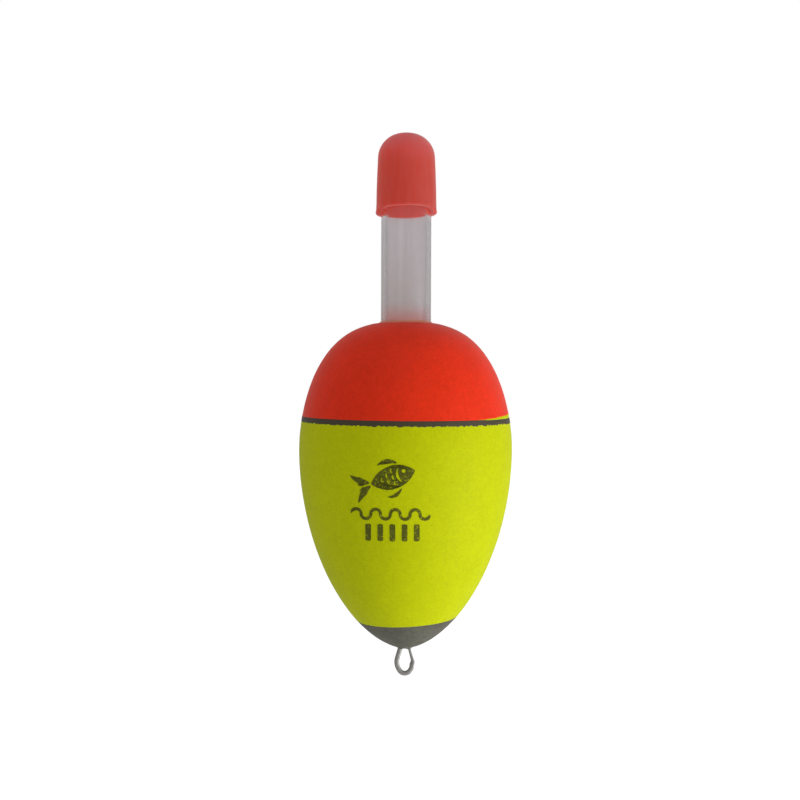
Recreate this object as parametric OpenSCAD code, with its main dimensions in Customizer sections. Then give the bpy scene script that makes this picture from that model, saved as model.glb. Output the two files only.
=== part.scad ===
// Night-fishing bobber float: an egg-shaped foam body in four colours, a clear
// tube for a light stick standing out of its crown, a soft pull-off tip cap on
// the tube, and a wire line eye potted into the pointed end.
// Millimetres, +Z up. The origin is the centre of the line eye's opening.

/* [Body] */
// Largest diameter of the body
body_d = 45; // [36:0.5:60]
// Height of the body above its widest ring
crown_h = 27; // [24:0.5:36]
// Height of the body below its widest ring
keel_h = 42; // [38:0.5:56]
// Thickness of each colour coat on the foam
coat_t = 0.3; // [0.2:0.05:0.5]
// Height of the tip coat's border over the body's lowest point
tip_h = 6.5; // [3:0.5:12]
// Fall of the tip coat's border towards the front, in degrees
tip_fall = 2.8; // [0:0.1:5]
// Slope of the tip coat's border, in degrees
tip_slope = 2.9; // [0:0.1:5]
// Height of the pinstripe's middle over the body's lowest point
stripe_z = 48.5; // [44:0.5:56]
// Height of the pinstripe
stripe_h = 1.1; // [0.6:0.1:2.5]
// Slope of the pinstripe, in degrees
stripe_slope = 1.8; // [0:0.1:4]

/* [Light tube] */
// Outside diameter of the clear tube
tube_d = 10.6; // [9:0.1:12]
// Wall of the clear tube
tube_wall = 1.1; // [0.8:0.1:1.5]
// Whole length of the clear tube
tube_len = 79; // [75:1:82]
// Length of the plug inside the tube's lower end
plug_in = 3; // [2:0.5:8]
// How much wider the plug is than the tube's bore, on the radius
plug_step = 0.2; // [0.1:0.05:0.4]
// Thickness of the plug's head
plug_head = 1.2; // [0.8:0.1:2]
// Glue gap between the tube and the foam
glue_gap = 0.2; // [0.1:0.05:0.4]
// Width of the glue's collar on the crown
collar_w = 0.9; // [0.6:0.1:1.5]
// Height of the glue's collar over the crown
collar_h = 0.3; // [0.2:0.05:0.5]

/* [Tip cap] */
// Height of the tip cap
cap_h = 17.5; // [15:0.5:22]
// Height of the cap's rim over the body's lowest point
cap_rim_z = 91.5; // [89:0.5:92]
// Outside diameter of the cap under its dome
cap_d = 12.1; // [12:0.1:14]
// Outside diameter of the cap just over its lip
rim_d = 12.8; // [12.6:0.1:15]
// Outside diameter of the rolled lip
lip_d = 13; // [13:0.1:15.4]
// Radius that rounds the cap's dome into its side
dome_r = 5.3; // [4.5:0.1:5.8]
// Wall of the cap's dome
cap_wall = 0.7; // [0.6:0.1:0.8]
// Radial gap between the cap and the tube
cap_gap = 0.05; // [0.02:0.01:0.08]

/* [Line eye] */
// Diameter of the wire
wire_d = 0.8; // [0.6:0.1:1]
// Outside width of the eye
eye_w = 4.2; // [3.8:0.1:6]
// Depth of the eye's widest place below the body
eye_drop = 3; // [2.8:0.1:4]
// Distance from there to the lowest point of the wire
eye_toe = 2.83; // [2.6:0.05:3.2]
// Inside radius of the eye's lower bend
toe_r = 0.9; // [0.8:0.05:1]
// Distance between the wires where they enter the body
leg_gap = 1.86; // [1.6:0.05:2]
// Length of the straight shank in the glue
shank_len = 13; // [8:1:15]
// Length of the foot that locks each leg in the glue
foot_len = 0.5; // [0.3:0.1:0.8]
// Diameter of the glued hole
anchor_d = 4.4; // [4:0.2:6]

/* [Printed mark] */
// Width of the fish
fish_w = 12.6; // [8:0.2:16]
// Height of the fish's middle over the body's lowest point
fish_z = 36.8; // [30:0.2:38]
// How far the fish's nose points up, in degrees
fish_tilt = 18; // [0:1:40]
// Sideways place of the mark
mark_x = -3; // [-6:0.2:6]
// Thickness of the ink
ink_t = 0.06; // [0.04:0.02:0.12]

/* [Hidden] */
$fn = 96;

// The body's outline is two half superellipses that meet at the widest ring.
crown_z_power = 1.88;
crown_r_power = 2.95;
keel_z_power = 1.91;
keel_r_power = 1.74;
outline_steps = 24;
far = 200;

ring_z = eye_drop + keel_h;
tube_r = tube_d / 2;
bore_r = tube_r - tube_wall;
plug_r = bore_r + plug_step;
seat_r = tube_r + glue_gap;
rim_z = eye_drop + cap_rim_z;
cap_top = rim_z + cap_h;
dome_z = cap_top - dome_r;
tube_top = dome_z - 0.1;
tube_low = tube_top - tube_len;
seat_z = tube_low - plug_head;
wire_r = wire_d / 2;
wire_sides = 12;
shank_x = wire_r + 0.1;
turn_r = 2;
foot_r = 0.6;

// Radius of the body at a share of its half height, for a half superellipse
function half_r(r, share, z_power, r_power) = r * pow(max(0, 1 - pow(share, z_power)), 1 / r_power);

// Outline of the body, taken in by a depth, as points from its lowest to its highest
function body_points(depth) =
    let (r = body_d / 2 - depth, keel = keel_h - depth, crown = crown_h - depth)
    concat(
        [for (i = [outline_steps : -1 : 1])
            let (s = sin(90 * i / outline_steps))
            [half_r(r, s, keel_z_power, keel_r_power), ring_z - keel * s]],
        [for (i = [0 : outline_steps])
            let (s = sin(90 * i / outline_steps))
            [half_r(r, s, crown_z_power, crown_r_power), ring_z + crown * s]]);

module body_outline(depth) {
    polygon(body_points(depth));
}

// Everything above a plane that slopes from a height on the axis: the first
// angle lowers the front, the second raises the right-hand side.
module above(height, front_drop, right_rise) {
    translate([0, 0, height]) rotate([front_drop, -right_rise, 0])
        translate([-far / 2, -far / 2, 0]) cube(far);
}

module skin() {
    rotate_extrude() difference() {
        body_outline(0);
        body_outline(coat_t);
        square([anchor_d / 2, ring_z]);
        translate([0, ring_z]) square([seat_r, far]);
    }
}

module foam_body() {
    color([0.27, 0.27, 0.24]) rotate_extrude() difference() {
        body_outline(coat_t);
        translate([0, seat_z]) square([seat_r, far]);
        square([anchor_d / 2, eye_drop + wire_r + shank_len + 5]);
    }
}

module red_coat() {
    color([0.80, 0.20, 0.15]) intersection() {
        skin();
        above(eye_drop + stripe_z + stripe_h / 2, stripe_slope, 0);
    }
}

module pinstripe() {
    color([0.25, 0.24, 0.20]) difference() {
        intersection() {
            skin();
            above(eye_drop + stripe_z - stripe_h / 2, stripe_slope, 0);
        }
        above(eye_drop + stripe_z + stripe_h / 2, stripe_slope, 0);
    }
}

module yellow_coat() {
    color([0.72, 0.80, 0.05]) difference() {
        intersection() {
            skin();
            above(eye_drop + tip_h, tip_fall, tip_slope);
        }
        above(eye_drop + stripe_z - stripe_h / 2, stripe_slope, 0);
    }
}

module tip_coat() {
    color([0.36, 0.37, 0.33]) difference() {
        skin();
        above(eye_drop + tip_h, tip_fall, tip_slope);
    }
}

// A fish seen from the side, nose to the right, about its own middle
module fish(w) {
    body_w = 0.72 * w;
    body_h = 0.36 * w;
    bow_r = (body_w * body_w / 4 + body_h * body_h / 4) / body_h;
    nose = w / 2;
    difference() {
        union() {
            translate([nose - body_w / 2, 0]) intersection() {
                translate([0, bow_r - body_h / 2]) circle(bow_r);
                translate([0, body_h / 2 - bow_r]) circle(bow_r);
            }
            polygon([[-0.12 * w, 0], [-0.5 * w, 0.22 * w], [-0.4 * w, 0], [-0.5 * w, -0.22 * w]]);
        }
        translate([0.32 * w, 0.05 * w]) circle(0.03 * w);
    }
}

// A wave line of half rings that hang and stand in turn
module wave(crests, crest_r, line) {
    for (i = [0 : crests - 1])
        translate([(2 * crest_r - line) * (i - (crests - 1) / 2), 0]) difference() {
            circle(crest_r);
            circle(crest_r - line);
            translate([-far / 2, i % 2 == 0 ? -far : 0]) square(far);
        }
}

// The fish over a wave line and a row of plain bars
module mark_outline() {
    bars = 5;
    bar_step = 2.4;
    bar = [1.1, 3.4];
    translate([-1.2, 0]) rotate(fish_tilt) fish(fish_w);
    translate([0, -6.8]) wave(8, 1.3, 0.6);
    for (i = [0 : bars - 1])
        translate([0.4 + bar_step * (i - (bars - 1) / 2) - bar[0] / 2, -12.2]) square(bar);
}

module printed_mark() {
    color([0.30, 0.33, 0.08]) intersection() {
        rotate_extrude() difference() {
            body_outline(-ink_t);
            body_outline(0);
            square([anchor_d / 2, ring_z]);
            translate([0, ring_z]) square([seat_r, far]);
        }
        translate([mark_x, 0, eye_drop + fish_z]) rotate([90, 0, 0])
            linear_extrude(body_d) mark_outline();
    }
}

module light_tube() {
    color([0.80, 0.78, 0.79, 0.5]) translate([0, 0, tube_low]) difference() {
        cylinder(h = tube_len, r = tube_r);
        translate([0, 0, -1]) cylinder(h = tube_len + 2, r = bore_r);
        translate([0, 0, -1]) cylinder(h = plug_in + 1, r = plug_r);
    }
}

module tube_plug() {
    color([0.85, 0.85, 0.82]) translate([0, 0, seat_z]) {
        cylinder(h = plug_head, r = tube_r);
        cylinder(h = plug_head + plug_in, r = plug_r);
    }
}

module tube_glue() {
    crown_z = ring_z + crown_h;
    color([0.75, 0.45, 0.38]) rotate_extrude() difference() {
        polygon([[tube_r, seat_z], [seat_r, seat_z], [seat_r, crown_z - 1], [tube_r + collar_w, crown_z - 1],
                 [tube_r + collar_w, crown_z - collar_h - 0.1], [tube_r, crown_z + collar_h]]);
        difference() {
            body_outline(0);
            square([seat_r, far]);
        }
    }
}

// Half section of the cap's dome and side, taken in by the wall at the dome
module cap_outline(wall) {
    translate([0, dome_z]) intersection() {
        union() {
            translate([cap_d / 2 - dome_r, 0]) circle(dome_r - wall);
            square([cap_d / 2 - dome_r, dome_r - wall]);
        }
        square(far);
    }
}

module tip_cap() {
    lip_r = 0.6;
    lip_in = tube_r + cap_gap;
    color([0.76, 0.27, 0.22]) rotate_extrude() difference() {
        union() {
            cap_outline(0);
            polygon([[0, rim_z + lip_r], [rim_d / 2, rim_z + lip_r], [cap_d / 2, dome_z], [0, dome_z]]);
            translate([lip_d / 2 - lip_r, rim_z + lip_r]) circle(lip_r);
            translate([0, rim_z]) square([lip_d / 2 - lip_r, lip_r]);
        }
        cap_outline(cap_wall);
        translate([0, rim_z - 1]) square([lip_in, dome_z - rim_z + 1]);
    }
}

// Places along an arc in the XZ plane, each [x, z, heading in degrees]
function arc(centre, r, from, to, steps) =
    [for (i = [1 : steps])
        let (a = from + (to - from) * i / steps)
        [centre[0] + r * cos(a), centre[1] + r * sin(a), a + (to > from ? 90 : -90)]];

// Places along the right-hand half of the line eye, from its lowest point: the
// lower bend, the wide side bend, the leaning leg, the turn that stands it up,
// the straight shank and the foot at its top
function half_wire() =
    let (toe_bend = toe_r + wire_r,
         half_w = eye_w / 2 - wire_r,
         toe_c = [0, toe_bend + wire_r - eye_toe],
         side_r = (half_w * half_w + toe_c[1] * toe_c[1] - toe_bend * toe_bend) / (2 * (half_w - toe_bend)),
         side_c = [half_w - side_r, 0],
         join_a = atan2(toe_c[1], -side_c[0]),
         entry = [leg_gap / 2, eye_drop] - side_c,
         lean = atan2(entry[1], entry[0]) - acos(side_r / norm(entry)),
         leg_x = shank_x + turn_r * (1 - cos(lean)),
         leg_len = (side_c[0] + side_r * cos(lean) - leg_x) / sin(lean),
         shank_z = side_r * sin(lean) + leg_len * cos(lean) + turn_r * sin(lean),
         top_z = shank_z + shank_len)
    concat(
        arc(toe_c, toe_bend, -90, join_a, 4),
        arc(side_c, side_r, join_a, lean, 8),
        arc([shank_x + turn_r, shank_z], turn_r, 180 + lean, 180, 3),
        [[shank_x, top_z, 90]],
        arc([shank_x + foot_r, top_z], foot_r, 180, 90, 4),
        [[shank_x + foot_r + foot_len, top_z + foot_r, 0]]);

// The same places mirrored and reversed, so that one wire runs from foot to foot
function mirrored(places) =
    [for (i = [len(places) - 1 : -1 : 0]) [-places[i][0], places[i][1], -places[i][2]]];

module line_eye() {
    right = half_wire();
    toe = [[0, wire_r - eye_toe, 0]];
    path = concat(mirrored(right), toe, right);
    rings = len(path);
    color([0.62, 0.62, 0.60]) polyhedron(
        points = [for (p = path, j = [0 : wire_sides - 1])
            let (a = 360 * j / wire_sides)
            [p[0] + wire_r * cos(a) * sin(p[2]), wire_r * sin(a), p[1] - wire_r * cos(a) * cos(p[2])]],
        faces = concat(
            [[for (j = [0 : wire_sides - 1]) j]],
            [for (k = [0 : rings - 2], j = [0 : wire_sides - 1])
                let (n = (j + 1) % wire_sides)
                [k * wire_sides + n, k * wire_sides + j,
                 (k + 1) * wire_sides + j, (k + 1) * wire_sides + n]],
            [[for (j = [wire_sides - 1 : -1 : 0]) (rings - 1) * wire_sides + j]]));
}

module eye_glue() {
    color([0.33, 0.34, 0.30]) difference() {
        rotate_extrude() intersection() {
            body_outline(0);
            square([anchor_d / 2, eye_drop + wire_r + shank_len + 5]);
        }
        line_eye();
    }
}

foam_body();
yellow_coat();
red_coat();
pinstripe();
tip_coat();
printed_mark();
light_tube();
tube_plug();
tube_glue();
tip_cap();
line_eye();
eye_glue();
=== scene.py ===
"""Looks of a night-fishing bobber float, built round its packed frame.

Lengths are in metres and in the frame's own axes: +Z up, the front towards -Y.
The float is a foam egg under four coats of paint, with a clear light tube glued
into its crown, a soft vinyl cap pushed on the tube, and a wire line eye potted
into its pointed end.
"""

import functools
import math

import bmesh
import bpy
from bpy.props import FloatProperty, FloatVectorProperty, IntProperty, PointerProperty
from mathutils import Matrix, Vector, noise


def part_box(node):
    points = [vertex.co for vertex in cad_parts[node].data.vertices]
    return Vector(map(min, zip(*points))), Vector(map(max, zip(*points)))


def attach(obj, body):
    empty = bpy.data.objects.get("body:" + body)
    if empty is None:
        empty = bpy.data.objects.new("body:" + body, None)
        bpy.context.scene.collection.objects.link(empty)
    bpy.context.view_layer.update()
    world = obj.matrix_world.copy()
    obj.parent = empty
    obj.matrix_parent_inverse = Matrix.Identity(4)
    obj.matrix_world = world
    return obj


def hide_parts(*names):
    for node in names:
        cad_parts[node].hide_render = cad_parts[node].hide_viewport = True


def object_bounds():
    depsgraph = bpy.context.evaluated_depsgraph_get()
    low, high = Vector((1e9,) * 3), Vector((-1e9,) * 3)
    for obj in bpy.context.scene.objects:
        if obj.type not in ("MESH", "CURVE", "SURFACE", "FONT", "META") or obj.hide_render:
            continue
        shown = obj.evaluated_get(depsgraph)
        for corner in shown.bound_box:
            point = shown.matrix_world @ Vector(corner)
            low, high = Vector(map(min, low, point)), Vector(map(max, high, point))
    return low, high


bl_info = {
    "name": "Bobber Float",
    "version": (1, 0, 0),
    "blender": (4, 5, 0),
    "location": "View3D > Sidebar > Float",
    "description": "Builds the painted body, light tube, vinyl cap and line eye of a bobber float",
    "category": "Add Mesh",
}

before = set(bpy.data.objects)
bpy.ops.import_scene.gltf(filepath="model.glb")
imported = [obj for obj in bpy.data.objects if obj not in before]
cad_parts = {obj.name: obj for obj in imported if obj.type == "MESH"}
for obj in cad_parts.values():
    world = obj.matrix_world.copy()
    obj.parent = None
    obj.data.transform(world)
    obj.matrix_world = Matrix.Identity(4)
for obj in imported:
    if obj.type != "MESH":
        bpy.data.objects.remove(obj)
cad_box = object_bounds()

MM = 0.001

BODY_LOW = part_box("eye_glue")[0].z
TUBE_LOW, TUBE_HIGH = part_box("light_tube")
PLUG_LOW, PLUG_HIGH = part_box("tube_plug")
CAP_LOW, CAP_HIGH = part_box("tip_cap")
GLUE_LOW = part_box("tube_glue")[0]
EYE_LOW, EYE_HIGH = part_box("line_eye")
GLUE_GAP = 0.2 * MM
SEAT_RADIUS = TUBE_HIGH.x + GLUE_GAP
ANCHOR_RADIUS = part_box("eye_glue")[1].x
SMOOTH_ANGLE = math.radians(50)


def srgb(red, green, blue):
    """Linear colour of a paint-chart colour given in 0 to 255 steps."""
    def linear(step):
        share = step / 255
        return share / 12.92 if share <= 0.04045 else ((share + 0.055) / 1.055) ** 2.4
    return linear(red), linear(green), linear(blue)


def length(label, description, value):
    """A length property, which Blender shows in the scene's units."""
    return FloatProperty(name=label, description=description, default=value, unit="LENGTH", precision=5)


def angle(label, description, degrees):
    """An angle property, kept in radians and shown in degrees."""
    radians = math.radians(degrees)
    return FloatProperty(name=label, description=description, default=radians, subtype="ANGLE")


def share(label, description, value):
    """A plain number property."""
    return FloatProperty(name=label, description=description, default=value, precision=4)


def colour(label, description, value):
    """A colour property."""
    return FloatVectorProperty(name=label, description=description, default=value,
                               subtype="COLOR", size=3, min=0.0, max=1.0)


# Settings

class BodySettings(bpy.types.PropertyGroup):
    """Shape of the egg, and where its coats meet"""

    radius: length("Widest Radius", "Radius of the egg at its widest ring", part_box("yellow_coat")[1].x)
    crown: length("Crown Height", "Height of the egg above its widest ring", 27 * MM)
    keel: length("Keel Height", "Height of the egg below its widest ring", 42 * MM)
    crown_height_power: share("Crown Height Power", "How square the crown's outline is upwards", 1.88)
    crown_radius_power: share("Crown Radius Power", "How square the crown's outline is sideways", 2.95)
    keel_height_power: share("Keel Height Power", "How square the keel's outline is downwards", 1.91)
    keel_radius_power: share("Keel Radius Power", "How square the keel's outline is sideways", 1.74)
    coat: length("Coat", "Thickness of each coat", 0.28 * MM)
    stripe_coat: length("Stripe Coat", "Thickness of the stripe", 0.08 * MM)
    tip_height: length("Tip Border", "Height of the tip coat's border over the lowest point", 6.5 * MM)
    tip_drop: angle("Tip Drop", "How far the tip's border falls towards the front", 2.8)
    tip_slope: angle("Tip Slope", "How far the tip's border rises to the right", 2.9)
    stripe_height: length("Stripe Middle", "Height of the stripe over the egg's lowest point", 48.5 * MM)
    stripe_width: length("Stripe Width", "Height of the stripe itself", 1.1 * MM)
    stripe_drop: angle("Stripe Drop", "How far the stripe falls towards the front", 1.8)
    stripe_lean: angle("Stripe Lean", "How far the stripe rises to the right", -0.2)
    stripe_overlap: length("Stripe Overlap", "How far the stripe covers the red coat's edge", 0.12 * MM)
    torn: length("Torn Edge", "How ragged the stripe's lower edge is", 0.7 * MM)
    bare: length("Bare Sliver", "Widest gap between the red coat and the stripe, on the right", 1.1 * MM)
    bare_angle: angle("Bare Angle", "Where that gap is widest, from +X towards +Y", 8)
    bare_spread: angle("Bare Spread", "How far that gap runs each way", 74)
    around: IntProperty(name="Around", description="Steps round each coat", default=420, min=24)


class PaintSettings(bpy.types.PropertyGroup):
    """Colours of the finishes"""

    red: colour("Red", "Fluorescent red of the crown", (0.93, 0.036, 0.007))
    yellow: colour("Yellow", "Fluorescent yellow of the body", (0.59, 0.665, 0.002))
    stripe: colour("Stripe", "Dark stripe", srgb(72, 65, 46))
    tip: colour("Tip", "Grey of the tip", srgb(100, 100, 86))
    ink: colour("Ink", "Printing ink", srgb(84, 88, 12))
    vinyl: colour("Vinyl", "Cap", srgb(137, 47, 35))
    # This colour is real dust and bloom on the dome, and also the colour of the painted highlight under
    # the lip.
    bloom_and_underside_highlight: colour("Bloom", "Dust and bloom on the cap's dome", srgb(150, 98, 104))
    # Painted glow: the colour the cap gives off as light of its own, though the vinyl is no lamp; it
    # evens out the cap's light and shade.
    painted_glow: colour("Glow", "Colour that the fluorescent vinyl gives off", (1.0, 0.076, 0.036))
    plastic: colour("Plastic", "Hazy tube", srgb(250, 246, 248))
    steel: colour("Steel", "Wire", srgb(168, 168, 162))
    glue: colour("Glue", "Glue round the tube", srgb(228, 146, 120))
    rubber: colour("Rubber", "Tube's plug", srgb(214, 212, 202))
    foam: colour("Foam", "Core of the body", srgb(96, 96, 88))


class MarkSettings(bpy.types.PropertyGroup):
    """The print on the front: a fish over a wave line and five bars"""

    fish_width: length("Fish Width", "Length of the fish", 12.6 * MM)
    fish_height: length("Fish Height", "Height of the fish over the egg's lowest point", 36.8 * MM)
    fish_shift: length("Fish Shift", "Sideways place of the fish on the mark", -1.2 * MM)
    fish_tilt: angle("Fish Tilt", "How far its nose points up", 18)
    middle: length("Middle", "Sideways place of the mark", -3 * MM)
    crests: IntProperty(name="Crests", description="Half turns of the wave line", default=8, min=2)
    crest_radius: length("Crest Radius", "Radius of each half turn, on the line's middle", 0.97 * MM)
    wave_line: length("Wave Line", "Thickness of the wave line", 0.6 * MM)
    wave_drop: length("Wave Drop", "How far the wave line lies below the fish", 6.8 * MM)
    bars: IntProperty(name="Bars", description="Number of bars", default=5, min=1)
    bar_step: length("Bar Step", "Distance between bars", 2.4 * MM)
    bar_width: length("Bar Width", "Width of a bar", 1.1 * MM)
    bar_height: length("Bar Height", "Height of a bar", 3.4 * MM)
    bar_drop: length("Bar Drop", "How far the bars' middle lies below the fish", 10.5 * MM)
    bar_shift: length("Bar Shift", "Sideways place of the bars on the mark", 0.4 * MM)
    ink: length("Ink", "Thickness of the ink", 0.05 * MM)
    bleed: length("Bleed", "How ragged the print's edges are", 0.03 * MM)


class TubeSettings(bpy.types.PropertyGroup):
    """The light tube, its plug and its glue"""

    radius: length("Radius", "Outside radius of the tube", TUBE_HIGH.x)
    wall: length("Wall", "Wall of the tube", 1.1 * MM)
    rounding: length("Rounding", "Rounding of the tube's cut rims", 0.22 * MM)
    plug_radius: length("Plug Radius", "Radius of the plug inside the tube", 4.4 * MM)
    collar_width: length("Collar Width", "Width of the glue's collar", 0.9 * MM)
    collar_height: length("Collar Height", "Height of the glue's collar over the crown", 0.42 * MM)


class CapSettings(bpy.types.PropertyGroup):
    """The vinyl cap"""

    rim: length("Rim", "Height of the cap's rim", CAP_LOW.z + 0.2 * MM)
    top: length("Top", "Height of the cap's top", CAP_HIGH.z)
    radius: length("Radius", "Radius under the dome", 6.05 * MM)
    rim_radius: length("Rim Radius", "Radius just over the lip", 6.4 * MM)
    lip_radius: length("Lip Radius", "Radius over the rolled lip", CAP_HIGH.x)
    lip_roll: length("Lip Roll", "Radius of the lip's own roll", 0.6 * MM)
    dome: length("Dome", "Radius that rounds the dome into the side", 5.3 * MM)
    wall: length("Wall", "Wall of the dome", 0.7 * MM)
    bore: length("Bore", "Inside radius", 5.35 * MM)
    lip_slope: angle("Lip Slope", "How far the lip rises to the right", 0.9)
    lip_arch: length("Lip Arch", "How far the lip stands higher along the front", 1.35 * MM)
    unevenness: length("Unevenness", "How far the dipped skin wanders", 0.035 * MM)


class EyeSettings(bpy.types.PropertyGroup):
    """The wire line eye"""

    wire: length("Wire", "Radius of the wire", EYE_HIGH.y)
    flattening: share("Flattening", "Share by which the wire is wider one way and thinner the other", 0.3)
    first_tilt: angle("Left Tilt", "Turn of the wire's flat side on the left leg", 90)
    last_tilt: angle("Right Tilt", "Turn of the wire's flat side on the right leg", 0)
    turn_middle: share("Turn Middle", "Where the flat side turns, as a share of the wire's length", 0.575)
    turn_width: share("Turn Width", "Share of the wire's length over which it turns", 0.09)
    kink: length("Kink", "How far the right side is drawn in above and below its bend", 0.14 * MM)
    half_width: length("Half Width", "Half of the eye's width, on the wire's middle", 1.7 * MM)
    drop: length("Drop", "Depth of the eye's widest place below the body", 3 * MM)
    toe: length("Toe", "Depth of the eye's lowest point below that place", -EYE_LOW.z)
    toe_bend: length("Toe Bend", "Radius of the lower bend, on the wire's middle", 1.3 * MM)
    entry: length("Entry", "Half the distance between the legs where they enter the body", 0.93 * MM)
    shank: length("Shank", "Length of the straight shank in the glue", 13 * MM)
    shank_gap: length("Shank Gap", "Half the distance between the legs in the glue", 0.5 * MM)
    turn: length("Turn", "Radius of the turn that stands a leg up", 2 * MM)
    foot_bend: length("Foot Bend", "Radius of the bend into the foot", 0.6 * MM)
    foot: length("Foot", "Length of the foot at the top of each leg", 0.5 * MM)
    dab: length("Dab", "How far the epoxy stands proud round the wire", 0.16 * MM)


class StageSettings(bpy.types.PropertyGroup):
    """Floor, lights and camera"""

    camera_x: length("Camera Across", "Camera's place across the float", -1.2 * MM)
    camera_distance: length("Camera Distance", "Camera's distance from the float's axis", 290.5 * MM)
    camera_height: length("Camera Height", "Camera's height over the line eye", 55.5 * MM)
    lens: share("Lens", "Focal length in millimetres", 61.65)
    sensor: share("Sensor", "Width of the camera's sensor in millimetres", 36)
    roll: angle("Roll", "Camera's roll", -0.2)
    floor_drop: length("Floor Drop", "How far the floor lies under the line eye", 300 * MM)
    key_power: share("Key Power", "Power of the large light on the right, in watts", 2.5)
    top_share: share("Top Share", "Power of the light overhead, as a share of the key light's", 0.36)
    surround: share("Surround", "Brightness of the studio round the float", 0.37)
    screen: share("Screen", "How much brighter the studio is behind the float", 0.42)


# Node graphs

def operators(operation):
    """An operator of Wire and its reflected form; each adds one Math node."""
    return (lambda wire, other: wire.graph.maths(operation, wire, other),
            lambda wire, other: wire.graph.maths(operation, other, wire))


class Wire:
    """A node's output that takes part in arithmetic."""

    __add__, __radd__ = operators("ADD")
    __sub__, __rsub__ = operators("SUBTRACT")
    __mul__, __rmul__ = operators("MULTIPLY")
    __truediv__, __rtruediv__ = operators("DIVIDE")
    __pow__, __rpow__ = operators("POWER")
    __gt__, __lt__ = operators("GREATER_THAN")

    def __init__(self, graph, socket):
        self.graph = graph
        self.socket = socket

    def __getitem__(self, name):
        found = next(o for o in self.socket.node.outputs if o.name == name and o.enabled)
        return Wire(self.graph, found)

    def __abs__(self):
        return self.math("ABSOLUTE")

    def math(self, operation, *others):
        return self.graph.maths(operation, self, *others)

    def kept_between(self, low, high):
        return self.math("MAXIMUM", low).math("MINIMUM", high)


class Graph:
    """Adds nodes to one shader or geometry tree."""

    def __init__(self, tree):
        self.tree = tree

    def node(self, kind, settings=None, sockets=None):
        """One node: its settings first, then the values or links of its sockets, by name or number."""
        made = self.tree.nodes.new(kind)
        for name, value in (settings or {}).items():
            setattr(made, name, value)
        for key, value in (sockets or {}).items():
            if isinstance(key, int):
                target = made.inputs[key]
            else:
                target = next(i for i in made.inputs if i.name == key and i.enabled)
            if isinstance(value, Wire):
                self.tree.links.new(value.socket, target)
            else:
                target.default_value = value
        return Wire(self, next((o for o in made.outputs if o.enabled), None))

    def maths(self, operation, *values):
        return self.node("ShaderNodeMath", {"operation": operation}, dict(enumerate(values)))

    def vector_maths(self, operation, *values):
        return self.node("ShaderNodeVectorMath", {"operation": operation}, dict(enumerate(values)))

    def scaled(self, vector, amount):
        return self.node("ShaderNodeVectorMath", {"operation": "SCALE"},
                         {"Vector": vector, "Scale": amount})

    def joined(self, x, y, z):
        return self.node("ShaderNodeCombineXYZ", {}, {"X": x, "Y": y, "Z": z})

    def parted(self, vector):
        parts = self.node("ShaderNodeSeparateXYZ", {}, {"Vector": vector})
        return parts["X"], parts["Y"], parts["Z"]

    def mixed(self, factor, first, second):
        """Two colours mixed; a plain colour is given as three numbers."""
        def full(tint):
            return tint if isinstance(tint, Wire) else (*tint, 1.0)
        return self.node("ShaderNodeMix", {"data_type": "RGBA"},
                         {"Factor": factor, "A": full(first), "B": full(second)})

    def eased(self, value, low, high):
        """0 below low and 1 above high, with a smooth step between."""
        return self.node("ShaderNodeMapRange", {"interpolation_type": "SMOOTHSTEP"},
                         {"Value": value, "From Min": low, "From Max": high})

    def cloud(self, place, scale, seed, detail=3.0, roughness=0.6):
        """Noise from 0 to 1, its features about 1 / scale wide."""
        return self.node("ShaderNodeTexNoise", {"noise_dimensions": "4D"}, {
            "Vector": place, "W": seed, "Scale": scale, "Detail": detail, "Roughness": roughness})

    def cells(self, place, scale):
        """Voronoi cells about 1 / scale wide; its Color output is a random value of each cell."""
        return self.node("ShaderNodeTexVoronoi", {}, {"Vector": place, "Scale": scale})

    def millimetres(self):
        """Place on the piece in the frame's axes, in millimetres."""
        return self.scaled(self.node("ShaderNodeTexCoord")["Object"], 1000.0)

    def relief(self, height, depth, under=None):
        """Bump of a height from 0 to 1 that stands depth metres high."""
        sockets = {"Height": height, "Distance": depth, "Strength": 1.0}
        if under is not None:
            sockets["Normal"] = under
        return self.node("ShaderNodeBump", {}, sockets)


def finish(describe):
    """Turns a function that gives a principled shader's sockets into one that makes a material.

    It is called with the material's graph and the place on the piece in millimetres.
    """
    @functools.wraps(describe)
    def made(name, *values, **more):
        material = bpy.data.materials.new(name)
        material.use_nodes = True
        material.node_tree.nodes.clear()
        g = Graph(material.node_tree)
        shader = g.node("ShaderNodeBsdfPrincipled", {}, describe(g, g.millimetres(), *values, **more))
        g.node("ShaderNodeOutputMaterial", {}, {"Surface": shader})
        return material
    return made


def toned(tint, amount):
    """A colour made darker or lighter by a factor."""
    return tuple(min(1.0, amount * c) for c in tint)


# Finishes

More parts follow.
